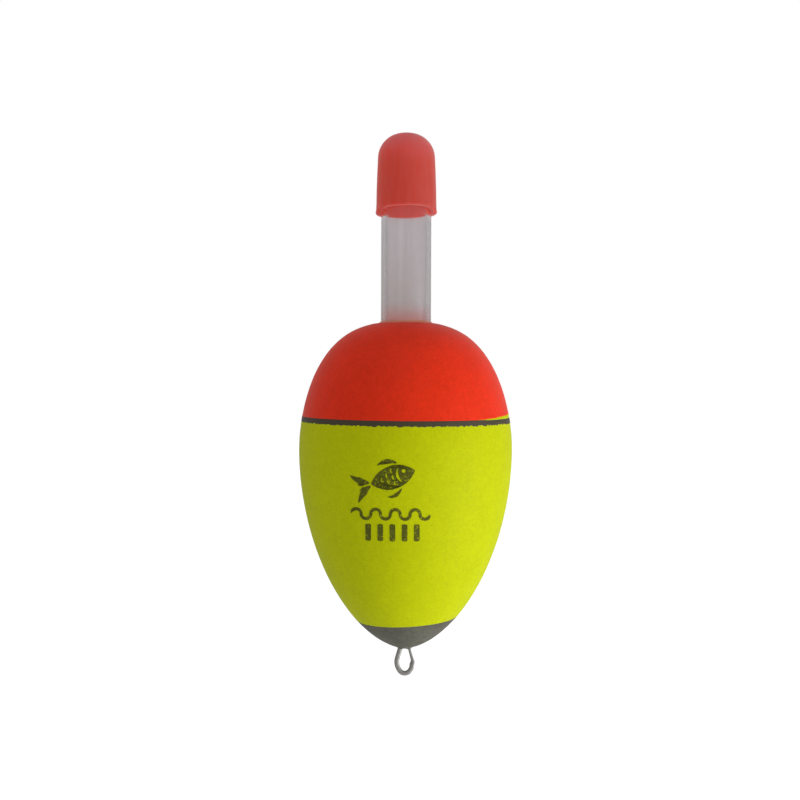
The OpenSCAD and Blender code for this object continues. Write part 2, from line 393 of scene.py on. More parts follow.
@finish
def matt_paint(g, place, tint, seed, cloudiness, fleck, shine=0.05, contrast=1.0, dust=0.02):
    """Matt sprayed paint on foam: soft clouds, orange peel, foam grain, and a few pits and flecks."""
    clouds = g.cloud(place, 0.22, seed, 4.0)
    blotches = g.cloud(place, 1.1, seed + 3)
    grain = g.cloud(place, 2.7, seed + 7, roughness=0.65)
    spot, pit = g.cells(place, 0.42), g.cells(place, 1.3)
    flecked = g.parted(spot["Color"])[0] > 0.93
    flecks = (1 - g.eased(spot["Distance"] + 0.25 * (blotches - 0.5), 0.02, 0.14)) * flecked
    pitted = g.parted(pit["Color"])[1] > 0.86
    pits = (1 - g.eased(pit["Distance"], 0.03, 0.17)) * pitted
    amount = 0.5 + (clouds - 0.5) * 6 * cloudiness + (blotches - 0.5) * 0.8 + (grain - 0.5) * 1.5
    thin, thick = toned(tint, 1 - 0.16 * contrast), toned(tint, 1 + 0.09 * contrast)
    coat = g.mixed(amount.kept_between(0.0, 1.0), thin, thick)
    peel = g.relief(blotches * 0.55 + grain * 0.45, 0.08 * MM)
    return {
        "Base Color": g.mixed(flecks * 0.45, coat, fleck),
        "Roughness": 0.50 + 0.16 * grain,
        "Specular IOR Level": shine,
        "Sheen Weight": dust,
        "Sheen Roughness": 0.4,
        "Normal": g.relief(1 - pits, 0.03 * MM, peel),
    }


@finish
def worn_ink(g, place, ink, paint, seed):
    """Pad-printed ink, worn through to the paint in specks."""
    patches = g.cloud(place, 0.9, seed)
    specks = g.cloud(place, 4.2, seed + 5, 2.0)
    worn = g.eased(specks + 0.35 * (patches - 0.5), 0.56, 0.70)
    return {
        "Base Color": g.mixed(worn * 0.75, g.mixed(patches, toned(ink, 0.85), toned(ink, 1.35)), paint),
        "Roughness": 0.55 + 0.15 * specks,
        "Specular IOR Level": 0.2,
        "Normal": g.relief(1 - worn, 0.02 * MM),
    }


@finish
def hazy_plastic(g, place, tint, paint, crown, clean):
    """Hazy extruded tube: fine lengthwise lines, painted shade that darkens it towards the crown and on
    its left side, away from the key light, and a blush of paint up from the crown.

    It is clear above the height clean; crown and clean are in millimetres.
    """
    x, y, z = g.parted(place)
    up = z - crown
    lines = g.cloud(g.joined(x, y, z * 0.012), 1.5, 2.0)
    haze = g.cloud(place, 0.5, 5.0)
    blush = 1 - g.eased(up + 1.5 * (haze - 0.5), -0.5, 4.5)
    # Painted shade: darker and warmer towards the crown, mostly on the left, away from the key light on
    # the right.
    painted_shade = (1 - g.eased(up, 0.0, 20.0)) * (1 - 0.85 * g.eased(x, 0.5, 3.5))
    covered = g.eased(z + 0.5 * (haze - 0.5), clean - 0.5, clean + 0.3)
    body = g.mixed(g.eased(lines * 0.8 + haze * 0.2, 0.34, 0.66), toned(tint, 0.91), tint)
    painted_shade_tint = g.mixed(painted_shade, (1.0, 1.0, 1.0), (0.92, 0.90, 0.87))
    return {
        "Base Color": g.mixed(blush * 0.30, g.vector_maths("MULTIPLY", body, painted_shade_tint), paint),
        "Roughness": 0.03 + (0.09 + 0.10 * haze) * (1 - covered),
        "IOR": 1.46,
        "Transmission Weight": 0.97,
        "Specular IOR Level": 0.14,
        "Normal": g.relief(lines, 0.006 * MM),
    }


@finish
def soft_vinyl(g, place, tint, bloom_and_underside_highlight, painted_glow, low, high):
    """Dip-moulded vinyl: soft and slightly see-through, with dust and bloom on the dome, a painted
    highlight on the faces that look down, along the lip's underside, and a painted red glow given off all
    over, which evens out its light and shade.
    """
    facing = g.node("ShaderNodeNewGeometry")["Normal"]
    # Painted highlight: faces that look down, such as the lip's underside, are paled to give a light line
    # along the lip.
    painted_underside_highlight = g.eased(-1 * g.parted(facing)[2], 0.55, 0.85)
    out = g.vector_maths("NORMALIZE", g.vector_maths("MULTIPLY", place, (1.0, 1.0, 0.0)))
    inside = g.eased(-1 * g.vector_maths("DOT_PRODUCT", facing, out)["Value"], 0.3, 0.7)
    x, y, height = g.parted(place)
    clouds = g.cloud(place, 0.45, 11.0, roughness=0.55)
    streaks = g.eased(g.cloud(g.joined(x, y, height * 0.14), 0.95, 15.0), 0.36, 0.64)
    grain = g.cloud(place, 3.0, 13.0)
    middle = low + 0.55 * (high - low)
    dusty = g.eased(height + 2.4 * (clouds - 0.5), middle, high + 0.5)
    nick = g.cells(place, 0.55)
    nicked = g.parted(nick["Color"])[0] > 0.88
    scuffed = (1 - g.eased(nick["Distance"] + 0.3 * (grain - 0.5), 0.05, 0.2)) * nicked
    paled = (dusty * 0.56 + 0.06 * grain + 0.11 * streaks).kept_between(0.0, 1.0)
    skin = g.mixed(paled, g.mixed(clouds, toned(tint, 0.92), tint), bloom_and_underside_highlight)
    # The painted glow on the outer faces, paler where the dome is paled.
    pale_painted_glow = (painted_glow[0], painted_glow[1] + 0.08, painted_glow[2] + 0.13)
    outer_painted_glow = g.mixed(paled, toned(painted_glow, 0.60), toned(pale_painted_glow, 0.46))
    return {
        # Base colour: real nicks and the painted underside highlight both mix in the pale colour.
        "Base Color": g.mixed((scuffed * 0.25 + painted_underside_highlight * 0.25).kept_between(0.0, 1.0), skin, bloom_and_underside_highlight),
        "Roughness": 0.50 + 0.18 * grain,
        "Specular IOR Level": 0.22,
        "Subsurface Weight": 0.9,
        "Subsurface Radius": (1.0, 0.14, 0.09),
        "Subsurface Scale": 7 * MM,
        "Sheen Weight": 0.20,
        "Sheen Roughness": 0.45,
        # Painted glow: red light given off by the cap itself, fuller on the faces inside it than on the
        # outside.
        "Emission Color": g.mixed(inside * (1 - 0.35 * streaks), outer_painted_glow, painted_glow),
        "Emission Strength": 0.45,
        "Normal": g.relief(0.6 * clouds + 0.4 * grain, 0.05 * MM),
    }


@finish
def drawn_steel(g, place, tint):
    """Drawn wire: lines along it, dull patches and a little rust-brown tarnish."""
    x, y, z = g.parted(place)
    drawn = g.cloud(g.joined(x * 3.0, y * 3.0, z * 0.6), 3.0, 1.0)
    dull = g.cloud(place, 0.9, 4.0)
    tarnish = g.eased(dull, 0.55, 0.75)
    return {
        "Base Color": g.mixed(tarnish * 0.3, tint, srgb(112, 100, 84)),
        "Metallic": 1 - 0.25 * tarnish,
        "Roughness": 0.46 + 0.20 * dull,
        "Normal": g.relief(drawn, 0.002 * MM),
    }


@finish
def set_glue(g, place, tint):
    """Set glue: glossy, slightly cloudy, with small bubbles."""
    clouds = g.cloud(place, 1.2, 21.0)
    bubbles = 1 - g.eased(g.cells(place, 2.2)["Distance"], 0.05, 0.25)
    return {
        "Base Color": g.mixed(clouds, toned(tint, 0.8), toned(tint, 1.15)),
        "Roughness": 0.22 + 0.25 * clouds,
        "Subsurface Weight": 0.2,
        "Subsurface Scale": 0.5 * MM,
        "Normal": g.relief(clouds * 0.7 + bubbles * 0.3, 0.05 * MM),
    }


@finish
def dusty_rubber(g, place, tint):
    """Moulded rubber: dull, finely grained and a little dusty."""
    grain = g.cloud(place, 4.0, 31.0)
    dust = g.cloud(place, 0.7, 33.0, 4.0)
    return {
        "Base Color": g.mixed(dust, toned(tint, 0.75), tint),
        "Roughness": 0.62 + 0.2 * grain,
        "Specular IOR Level": 0.3,
        "Normal": g.relief(grain, 0.04 * MM),
    }


@finish
def cellular_foam(g, place, tint):
    """Closed-cell foam with fine cells."""
    clouds = g.cloud(place, 0.4, 41.0)
    return {
        "Base Color": g.mixed(clouds, toned(tint, 0.555), tint),
        "Roughness": 0.8 + 0.1 * clouds,
        "Specular IOR Level": 0.2,
        "Normal": g.relief(g.eased(g.cells(place, 2.8)["Distance"], 0.05, 0.5), 0.12 * MM),
    }


@finish
def pale_floor(g, place):
    """Plain pale floor, which looks pure white to the camera."""
    soft = g.cloud(place, 0.004, 51.0, 2.0, 0.5)
    seen = g.node("ShaderNodeLightPath")["Is Camera Ray"]
    return {
        "Base Color": g.mixed(soft, (0.80, 0.80, 0.80), (0.84, 0.84, 0.84)),
        "Roughness": 0.9,
        "Specular IOR Level": 0.0,
        "Emission Color": (1.0, 1.0, 1.0, 1.0),
        "Emission Strength": 0.18 + seen * 0.60,
    }


# Shapes

SHAPE = {
    "Widest Radius": "radius",
    "Crown Height": "crown",
    "Keel Height": "keel",
    "Crown Height Power": "crown_height_power",
    "Crown Radius Power": "crown_radius_power",
    "Keel Height Power": "keel_height_power",
    "Keel Radius Power": "keel_radius_power",
}


def ring_height(body):
    """Height of the egg's widest ring."""
    return BODY_LOW + body.keel


def shape_values(body):
    """Values of a tree's inputs that give the egg's shape."""
    values = {label: getattr(body, field) for label, field in SHAPE.items()}
    values["Widest Height"] = ring_height(body)
    return values


def height_on_egg(body, radius, crown):
    """Height at which the crown, or else the keel, has a radius."""
    side = "crown" if crown else "keel"
    reach, height_power = getattr(body, side), getattr(body, side + "_height_power")
    radius_power = getattr(body, side + "_radius_power")
    up = (1 - (radius / body.radius) ** radius_power) ** (1 / height_power)
    return ring_height(body) + (up * reach if crown else -up * reach)


def geometry_tree(name, labels):
    """A geometry tree with named inputs, given as {label: socket kind}: its graph and its input wire."""
    tree = bpy.data.node_groups.new(name, "GeometryNodeTree")
    tree.interface.new_socket("Geometry", in_out="OUTPUT", socket_type="NodeSocketGeometry")
    for label, kind in labels.items():
        tree.interface.new_socket(label, in_out="INPUT", socket_type="NodeSocket" + kind)
    graph = Graph(tree)
    return graph, graph.node("NodeGroupInput")


def floats(*labels):
    """Number inputs for a tree."""
    return dict.fromkeys(labels, "Float")


def by_side(given, label, above):
    """The crown's value of an input where above is 1, and the keel's where it is 0."""
    return given["Keel " + label] + above * (given["Crown " + label] - given["Keel " + label])


def egg_radius(given, height):
    """Radius of the egg at a height: two half superellipses that meet at the widest ring."""
    up = height - given["Widest Height"]
    above = up > 0.0
    part = (abs(up) / by_side(given, "Height", above)).kept_between(0.0, 1.0)
    left = (1 - part ** by_side(given, "Height Power", above)).math("MAXIMUM", 0.0)
    return given["Widest Radius"] * left ** (1 / by_side(given, "Radius Power", above))


def closing_nodes(graph, geometry, given):
    """The end of every tree: smooth faces, real instances and the finish."""
    smooth = graph.node("GeometryNodeSetShadeSmooth", {}, {"Geometry": geometry})
    real = graph.node("GeometryNodeRealizeInstances", {}, {"Geometry": smooth})
    done = graph.node("GeometryNodeSetMaterial", {}, {"Geometry": real, "Material": given["Finish"]})
    graph.node("NodeGroupOutput", {}, {"Geometry": done})


def moved(graph, geometry, **sockets):
    """A Set Position node, with Position or Offset."""
    return graph.node("GeometryNodeSetPosition", {}, {"Geometry": geometry, **sockets})


def coat_tree():
    """A band of the egg between two borders, each of which may slope, rise on one side and be ragged."""
    ends = [f"{side} {label}" for side in ("Low", "High")
            for label in ("Border", "Front Slope", "Side Slope", "Ragged", "Lift")]
    g, given = geometry_tree("Coat Band", {
        "Around": "Int", "Along": "Int", "Finish": "Material",
        **floats(*SHAPE, "Widest Height", *ends, "Lift Angle", "Lift Spread", "Grain", "Seed",
                 "Stand Out", "Edge Width", "Edge Depth", "Lip Height", "Unevenness")})
    sleeve = g.node("GeometryNodeMeshCylinder", {"fill_type": "NONE"}, {
        "Vertices": given["Around"], "Side Segments": given["Along"], "Radius": 1.0, "Depth": 1.0})
    x, y, z = g.parted(g.node("GeometryNodeInputPosition"))
    turn = y.math("ARCTAN2", x)
    across, along = turn.math("COSINE"), turn.math("SINE")
    step = (z + 0.5).kept_between(0.0, 1.0)
    step = 0.2 * step + 0.8 * step * step * (3 - 2 * step)
    away = (turn - given["Lift Angle"]).math("COSINE").math("ARCCOSINE") / given["Lift Spread"]
    swell = 0.5 + 0.5 * (away.math("MINIMUM", 1.0) * math.pi).math("COSINE")
    widest = given["Widest Radius"]
    border_place = g.scaled(g.joined(across * widest, along * widest, 0.0), given["Grain"])
    torn = g.cloud(border_place, 1.0, given["Seed"], roughness=0.7) * 2 - 1

    def border(side):
        level = given[side + " Border"]
        slope = along * given[side + " Front Slope"] + across * given[side + " Side Slope"]
        ragged = given[side + " Ragged"] + 0.8 * given[side + " Lift"] * swell
        return level + egg_radius(given, level) * slope + given[side + " Lift"] * swell + torn * ragged

    def rise(height):
        up = height - given["Widest Height"]
        return (up / by_side(given, "Height", up > 0.0)).kept_between(-1.0, 1.0).math("ARCSINE")

    low, high = border("Low"), border("High")
    start, end = rise(low), rise(high)
    up = (start + (end - start) * step).math("SINE")
    height = given["Widest Height"] + up * by_side(given, "Height", up > 0.0)
    radius = egg_radius(given, height)
    band = moved(g, sleeve, Position=g.joined(across * radius, along * radius, height))
    width = given["Edge Width"]
    gap = (z - low).math("MINIMUM", high - z)
    fall = (1 - g.eased(gap, 0.0, width)) * given["Edge Depth"]
    lip = g.eased(gap, 0.0, width) * (1 - g.eased(gap, width, 5 * width)) * given["Lip Height"]
    wander = g.cloud(g.joined(x, y, z), 140.0, given["Seed"], 2.0, 0.5) - 0.5
    proud = given["Stand Out"] + lip - fall + 2 * wander * given["Unevenness"]
    normal = g.node("GeometryNodeInputNormal")
    band = moved(g, band, Offset=g.scaled(normal, proud))
    closing_nodes(g, band, given)
    return g.tree


def print_tree():
    """Flat artwork in the XZ plane, with bled edges, wrapped on the front of the egg."""
    g, given = geometry_tree("Print On Egg", {
        "Geometry": "Geometry", "Splits": "Int", "Finish": "Material",
        **floats(*SHAPE, "Widest Height", "Bleed", "Grain", "Seed", "Stand Out")})
    fine = g.node("GeometryNodeSubdivideMesh", {}, {"Mesh": given["Geometry"], "Level": given["Splits"]})
    place = g.node("GeometryNodeInputPosition")
    x, y, z = g.parted(place)
    grain = g.scaled(place, given["Grain"])
    aside = (g.cloud(grain, 1.0, given["Seed"], 1.0, 0.5) - 0.5) * 4 * given["Bleed"]
    upward = (g.cloud(grain, 1.0, given["Seed"] + 9.0, 1.0, 0.5) - 0.5) * 4 * given["Bleed"]
    bled = moved(g, fine, Offset=g.joined(aside, 0.0, upward))
    radius = egg_radius(given, z)
    depth = (radius * radius - x * x).math("MAXIMUM", 0.0).math("SQRT")
    wrapped = moved(g, bled, Position=g.joined(x, -1 * depth, z))
    normal = g.node("GeometryNodeInputNormal")
    wrapped = moved(g, wrapped, Offset=g.scaled(normal, given["Stand Out"]))
    closing_nodes(g, wrapped, given)
    return g.tree


def wire_tree():
    """A wire along a path, rolled flatter, whose flat side turns from one leg to the other."""
    g, given = geometry_tree("Wire On Path", {
        "Geometry": "Geometry", "Sides": "Int", "Finish": "Material",
        **floats("Wire Radius", "Flattening", "First Tilt", "Last Tilt", "Turn Middle", "Turn Width")})
    circle = g.node("GeometryNodeCurvePrimitiveCircle", {},
                    {"Resolution": given["Sides"], "Radius": given["Wire Radius"]})
    flat = given["Flattening"]
    section = g.node("GeometryNodeTransform", {},
                     {"Geometry": circle, "Scale": g.joined(1 + flat, 1 - flat, 1.0)})
    along = g.node("GeometryNodeSplineParameter")["Factor"]
    half = given["Turn Width"] / 2
    turned_share = g.eased(along, given["Turn Middle"] - half, given["Turn Middle"] + half)
    tilt = given["First Tilt"] + (given["Last Tilt"] - given["First Tilt"]) * turned_share
    path = g.node("GeometryNodeSetCurveTilt", {}, {"Curve": given["Geometry"], "Tilt": tilt})
    swept = g.node("GeometryNodeCurveToMesh", {},
                   {"Curve": path, "Profile Curve": section, "Fill Caps": True})
    closing_nodes(g, swept, given)
    return g.tree


def linked(name, data):
    """A new object at the origin, in the scene."""
    piece = bpy.data.objects.new(name, data)
    bpy.context.scene.collection.objects.link(piece)
    return piece


def grown(name, tree, values, start=None, wall=None):
    """A plain mesh piece: what a geometry tree with set inputs makes of start, with a wall inwards."""
    carrier = linked(name + "_carrier", start or bpy.data.meshes.new(name + "_start"))
    modifier = carrier.modifiers.new(tree.name, "NODES")
    modifier.node_group = tree
    for item in tree.interface.items_tree:
        if item.item_type == "SOCKET" and item.in_out == "INPUT" and item.name in values:
            modifier[item.identifier] = values[item.name]
    if wall:
        shell = carrier.modifiers.new("Wall", "SOLIDIFY")
        shell.thickness = wall
        shell.offset = -1
    graph = bpy.context.evaluated_depsgraph_get()
    mesh = bpy.data.meshes.new_from_object(carrier.evaluated_get(graph), depsgraph=graph)
    bpy.data.objects.remove(carrier)
    mesh.name = name
    mesh.set_sharp_from_angle(angle=SMOOTH_ANGLE)
    return linked(name, mesh)


def around(turn, radius, height):
    """The point at a turn about the Z axis, a radius and a height."""
    return Vector((radius * math.cos(turn), radius * math.sin(turn), height))


def turned(name, outline, steps, material, place=around, ring=False):
    """A closed shape turned about the Z axis from an outline of (radius, height) points.

    The outline starts and ends on the axis, or with ring it closes on itself.
    place moves each point: it takes the angle, radius and height, and returns a vector.
    """
    on_axis = 1e-9
    made = bmesh.new()
    rows = []
    for radius, height in outline:
        turns = [0.0] if radius < on_axis else [2 * math.pi * i / steps for i in range(steps)]
        rows.append([made.verts.new(place(turn, radius, height)) for turn in turns])
    for low, high in zip(rows, rows[1:] + (rows[:1] if ring else [])):
        for i in range(steps):
            j = (i + 1) % steps
            corners = [low[i % len(low)], low[j % len(low)], high[j % len(high)], high[i % len(high)]]
            kept = [c for k, c in enumerate(corners) if c not in corners[:k]]
            if len(kept) > 2:
                made.faces.new(kept)
    bmesh.ops.recalc_face_normals(made, faces=made.faces)
    mesh = bpy.data.meshes.new(name)
    made.to_mesh(mesh)
    made.free()
    mesh.shade_smooth()
    mesh.set_sharp_from_angle(angle=SMOOTH_ANGLE)
    mesh.materials.append(material)
    return linked(name, mesh)


def arc(centre, radius, start, end, steps):
    """Points round a centre, from one angle to another, in degrees, both ends included."""
    turns = [math.radians(start + (end - start) * i / steps) for i in range(steps + 1)]
    return [(centre[0] + radius * math.cos(t), centre[1] + radius * math.sin(t)) for t in turns]


def straight(start, end, steps):
    """Points on a straight line, without its two ends."""
    return [(start[0] + (end[0] - start[0]) * i / steps, start[1] + (end[1] - start[1]) * i / steps)
            for i in range(1, steps)]


def bent(start, pull, end, steps=24):
    """Points on a quadratic curve from start to end, pulled towards a third point."""
    return [tuple((1 - t) ** 2 * a + 2 * t * (1 - t) * b + t * t * c for a, b, c in zip(start, pull, end))
            for t in (i / steps for i in range(steps + 1))]


def stroke(line, width, taper=0.5):
    """Closed outline of a brush stroke along a line, tapering over a share of its length at each end."""
    left, right = [], []
    last = len(line) - 1
    for i, point in enumerate(line):
        before, after = Vector(line[max(i - 1, 0)]), Vector(line[min(i + 1, last)])
        side = (after - before).normalized().orthogonal()
        half = width / 2 * min(1.0, min(i, last - i) / (last * taper)) ** 0.6
        left.append(tuple(Vector(point) + side * half))
        right.append(tuple(Vector(point) - side * half))
    return left + right[-2:0:-1]


def rounded_bar(centre, size, corner):
    """Closed outline of an upright bar with round corners."""
    half = [s / 2 - corner for s in size]
    outline = []
    for quarter, (sx, sy) in enumerate(((1, 1), (-1, 1), (-1, -1), (1, -1))):
        middle = (centre[0] + sx * half[0], centre[1] + sy * half[1])
        outline += arc(middle, corner, 90 * quarter, 90 * quarter + 90, 5)
    dense = []
    for here, there in zip(outline, outline[1:] + outline[:1]):
        steps = max(1, round(math.dist(here, there) / (0.2 * MM)))
        dense += [here, *straight(here, there, steps)]
    return dense


def fish(width):
    """Outlines of a fish seen from the side, nose to the right: body, slits in it, tail and fins."""
    def at(x, y):
        return x * width, y * width

    middle, half_length, half_height = 0.14, 0.36, 0.18
    bow = (half_length ** 2 + half_height ** 2) / (2 * half_height)
    reach = math.degrees(math.asin(half_length / bow))
    back = arc(at(middle, half_height - bow), bow * width, 90 - reach, 90 + reach, 60)
    belly = arc(at(middle, bow - half_height), bow * width, 270 - reach, 270 + reach, 60)
    shapes = [back + belly[1:-1]]
    shapes.append(arc(at(0.33, 0.045), 0.031 * width, 0, 345, 23))
    shapes.append(stroke(arc(at(0.385, 0.0), 0.17 * width, 137, 223, 24), 0.042 * width))
    scale_columns = ((0.135, (-0.1, 0.0, 0.1)), (0.045, (-0.051, 0.051)), (-0.045, (0.0,)))
    for column, rows in scale_columns:
        for row in rows:
            shapes.append(stroke(arc(at(column + 0.06, row), 0.06 * width, 127, 233, 16), 0.026 * width))
    for side in (1, -1):
        tail = bent(at(-0.235, 0.028 * side), at(-0.36, 0.05 * side), at(-0.5, 0.225 * side))
        shapes.append(stroke(tail, 0.105 * width))
        ray = bent(at(-0.33, 0.012 * side), at(-0.38, 0.018 * side), at(-0.43, 0.06 * side), 14)
        shapes.append(stroke(ray, 0.022 * width))
    shapes.append(stroke(bent(at(0.27, 0.192), at(0.14, 0.31), at(-0.04, 0.25)), 0.075 * width))
    shapes.append(stroke(bent(at(0.22, -0.205), at(0.1, -0.32), at(-0.03, -0.27)), 0.06 * width))
    return shapes


def wave(crests, radius, line):
    """Outline of a wave line of half turns that stand and hang in turn."""
    path = []
    for i in range(crests):
        middle = (2 * radius * (i - (crests - 1) / 2), 0.0)
        half = arc(middle, radius, 180, 0, 16) if i % 2 == 0 else arc(middle, radius, 180, 360, 16)
        path += half if i == 0 else half[1:]
    return stroke(path, line, 0.03)


def artwork(mark):
    """The print's outlines about the fish's middle, as closed loops of (x, height) points."""
    turn = Matrix.Rotation(mark.fish_tilt, 2)
    loops = []
    for shape in fish(mark.fish_width):
        points = [turn @ Vector(p) for p in shape]
        loops.append([(p.x + mark.fish_shift, p.y) for p in points])
    water = wave(mark.crests, mark.crest_radius, mark.wave_line)
    loops.append([(x, y - mark.wave_drop) for x, y in water])
    for i in range(mark.bars):
        across = mark.bar_shift + mark.bar_step * (i - (mark.bars - 1) / 2)
        loops.append(rounded_bar((across, -mark.bar_drop), (mark.bar_width, mark.bar_height), 0.3 * MM))
    return loops


def filled(name, loops):
    """A flat mesh in the XZ plane that faces the front and fills closed loops, less the loops in them."""
    curve = bpy.data.curves.new(name, "CURVE")
    curve.dimensions = "2D"
    curve.fill_mode = "BOTH"
    for loop in loops:
        spline = curve.splines.new("POLY")
        spline.points.add(len(loop) - 1)
        spline.use_cyclic_u = True
        for point, (x, y) in zip(spline.points, loop):
            point.co = (x / MM, y / MM, 0.0, 1.0)
    carrier = linked(name + "_flat", curve)
    graph = bpy.context.evaluated_depsgraph_get()
    mesh = bpy.data.meshes.new_from_object(carrier.evaluated_get(graph), depsgraph=graph)
    bpy.data.objects.remove(carrier)
    mesh.transform(Matrix.Scale(MM, 4) @ Matrix.Rotation(math.pi / 2, 4, "X"))
    return mesh


def path_curve(name, points):
    """A curve through points."""
    curve = bpy.data.curves.new(name, "CURVE")
    curve.dimensions = "3D"
    spline = curve.splines.new("POLY")
    spline.points.add(len(points) - 1)
    for target, point in zip(spline.points, points):
        target.co = (*point, 1.0)
    return curve


def eye_path(eye):
    """Points along the wire from foot to foot: legs, turns, leaning sides, side bends and lower bend."""
    toe = (0.0, eye.toe_bend + eye.wire - eye.toe)
    side_radius = ((eye.half_width ** 2 + toe[1] ** 2 - eye.toe_bend ** 2)
                   / (2 * (eye.half_width - eye.toe_bend)))
    side = (eye.half_width - side_radius, 0.0)
    meet = math.degrees(math.atan2(toe[1], -side[0]))
    entry = (eye.entry - side[0], eye.drop)
    lean = math.degrees(math.atan2(entry[1], entry[0]) - math.acos(side_radius / math.hypot(*entry)))
    slope = math.radians(lean)
    leg_x = eye.shank_gap + eye.turn * (1 - math.cos(slope))
    leg = (side[0] + side_radius * math.cos(slope) - leg_x) / math.sin(slope)
    shank_z = side_radius * math.sin(slope) + leg * math.cos(slope) + eye.turn * math.sin(slope)
    top = shank_z + eye.shank
    foot_x = eye.shank_gap + eye.foot_bend
    right = (arc(toe, eye.toe_bend, -90, meet, 14)[1:]
             + arc(side, side_radius, meet, lean, 28)[1:]
             + arc((eye.shank_gap + eye.turn, shank_z), eye.turn, 180 + lean, 180, 8)
             + straight((eye.shank_gap, shank_z), (eye.shank_gap, top), 12)
             + arc((foot_x, top), eye.foot_bend, 180, 90, 8)
             + [(foot_x + eye.foot, top + eye.foot_bend)])
    left = [(-x, z) for x, z in reversed(right)]

    def drawn_in(x, z):
        part = z / eye.drop if z > 0 else z / toe[1]
        return x - eye.kink * math.sin(math.pi * part) if 0 < part < 1 else x

    right = [(drawn_in(x, z), z) for x, z in right]
    return [(x, 0.0, z) for x, z in left + [(0.0, eye.wire - eye.toe)] + right]


# Operators

class BOBBER_OT_stage(bpy.types.Operator):
    """Make the floor, the studio light and the camera"""

    bl_idname = "bobber.stage"
    bl_label = "Stage"

    def execute(self, context):
        stage = context.scene.bobber_stage
        self.floor(stage)
        self.surround(context.scene, stage)
        self.lamp("key", stage.key_power, size=0.34, tint=(0.98, 0.97, 1.0), turn=68, lift=-16, away=0.62)
        self.lamp("top", stage.key_power * stage.top_share, size=0.5, tint=(1.0, 0.98, 0.96),
                  turn=-12, lift=62, away=0.8)
        data = bpy.data.cameras.new("camera")
        data.lens = stage.lens
        data.sensor_width = stage.sensor
        camera = linked("camera", data)
        camera.location = (stage.camera_x, -stage.camera_distance, stage.camera_height)
        camera.rotation_euler = (math.pi / 2, stage.roll, 0.0)
        context.scene.camera = camera
        context.scene.view_settings.view_transform = "Standard"
        return {"FINISHED"}

    @staticmethod
    def floor(stage):
        half_side = 12.0
        low = EYE_LOW.z - stage.floor_drop
        corners = [(x * half_side, y * half_side, low) for x, y in ((-1, -1), (1, -1), (1, 1), (-1, 1))]
        mesh = bpy.data.meshes.new("floor")
        mesh.from_pydata(corners, [], [(0, 1, 2, 3)])
        mesh.materials.append(pale_floor("pale_floor"))
        linked("floor", mesh)

    @staticmethod
    def surround(scene, stage):
        world = bpy.data.worlds.new("studio")
        world.use_nodes = True
        world.node_tree.nodes.clear()
        g = Graph(world.node_tree)
        _, behind, height = g.parted(g.node("ShaderNodeTexCoord")["Generated"])
        dome = g.mixed(g.eased(height, -0.6, 0.8), (1.06, 1.04, 1.02), (0.98, 0.95, 0.965))
        screen = 1 + stage.screen * g.eased(behind, 0.5, 0.9)
        light = g.node("ShaderNodeBackground", {}, {"Color": dome, "Strength": screen * stage.surround})
        backdrop = g.node("ShaderNodeBackground", {}, {"Color": (1.0, 1.0, 1.0, 1.0), "Strength": 1.0})
        seen = g.node("ShaderNodeLightPath")["Is Camera Ray"]
        both = g.node("ShaderNodeMixShader", {}, {0: seen, 1: light, 2: backdrop})
        g.node("ShaderNodeOutputWorld", {}, {"Surface": both})
        scene.world = world

    @staticmethod
    def lamp(name, power, size, tint, turn, lift, away):
        """A soft square light aimed at the float, turned right from the front and lifted, in degrees."""
        data = bpy.data.lights.new(name, "AREA")
        data.energy = power
        data.size = size
        data.color = tint
        middle = (cad_box[0] + cad_box[1]) / 2
        t, e = math.radians(turn), math.radians(lift)
        back = Vector((math.sin(t) * math.cos(e), -math.cos(t) * math.cos(e), math.sin(e)))
        light = linked(name, data)
        light.visible_transmission = False
        light.location = middle + back * away
        light.rotation_euler = back.to_track_quat("Z", "Y").to_euler()


class BOBBER_OT_foam(bpy.types.Operator):
    """Give the foam core its finish"""

    bl_idname = "bobber.foam"
    bl_label = "Foam Core"

    def execute(self, context):
        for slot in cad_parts["foam_body"].material_slots:
            slot.material = cellular_foam("grey_foam", context.scene.bobber_paint.foam)
        return {"FINISHED"}


